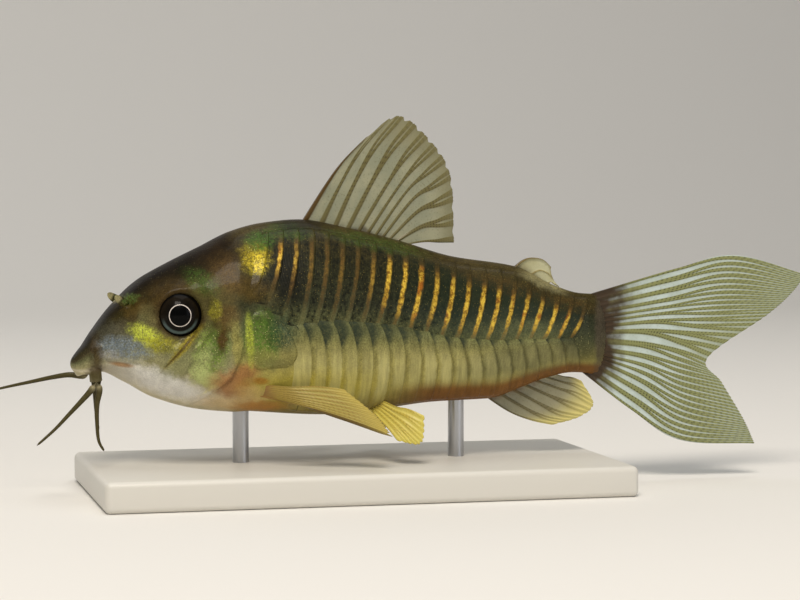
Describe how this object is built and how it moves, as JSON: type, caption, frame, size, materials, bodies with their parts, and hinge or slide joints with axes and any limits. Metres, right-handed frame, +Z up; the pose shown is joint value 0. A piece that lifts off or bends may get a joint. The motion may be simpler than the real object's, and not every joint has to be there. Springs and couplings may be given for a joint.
{
  "type": "corydoras catfish model",
  "caption": "Life-size still model of a bronze-green armoured catfish with plated flanks, spread fins and feelers, held level on a display base by rods",
  "frame": {"origin": "centre of the underside of the display base", "axes": "the head looks toward -X, +X runs to the tail fin, the left side faces -Y, +Z is up"},
  "size_m": [0.0837, 0.026, 0.0372],
  "materials": {
    "skin_head": "wet olive-brown skin with green and gold sheen",
    "skin_gill_cover": "wet green-gold sheen over bone",
    "skin_trunk": "wet bony plates, dark teal and gold above, cream below",
    "skin_tail_stem": "wet bony plates, brown and teal",
    "skin_lips": "soft wet skin",
    "eye": "clear glossy dome over a dark iris with a silver ring",
    "feeler": "soft wet dark skin",
    "fin": "thin clear membrane over olive rays",
    "fin_yellow": "thin yellow membrane over amber rays",
    "stand_plate": "satin off-white moulded sheet",
    "stand_steel": "fine brushed"
  },
  "bodies": {
    "root": {"head": "skin_head", "gill_cover_left": "skin_gill_cover", "gill_cover_right": "skin_gill_cover", "trunk": "skin_trunk", "tail_stem": "skin_tail_stem", "mouth": "skin_lips", "eye_left": "eye", "eye_right": "eye", "barbel_upper_left": "feeler", "barbel_lower_left": "feeler", "barbel_upper_right": "feeler", "barbel_lower_right": "feeler", "lip_barbel_left": "feeler", "lip_barbel_right": "feeler", "nostril_flap_left": "skin_head", "nostril_flap_right": "skin_head", "dorsal_fin": "fin", "adipose_fin": "fin_yellow", "caudal_fin_upper": "fin", "caudal_fin_lower": "fin", "anal_fin": "fin", "pectoral_fin_left": "fin_yellow", "pectoral_fin_right": "fin_yellow", "pelvic_fin_left": "fin_yellow", "pelvic_fin_right": "fin_yellow", "stand_base": "stand_plate", "stand_rod_front": "stand_steel", "stand_rod_rear": "stand_steel"}
  },
  "joints": []
}
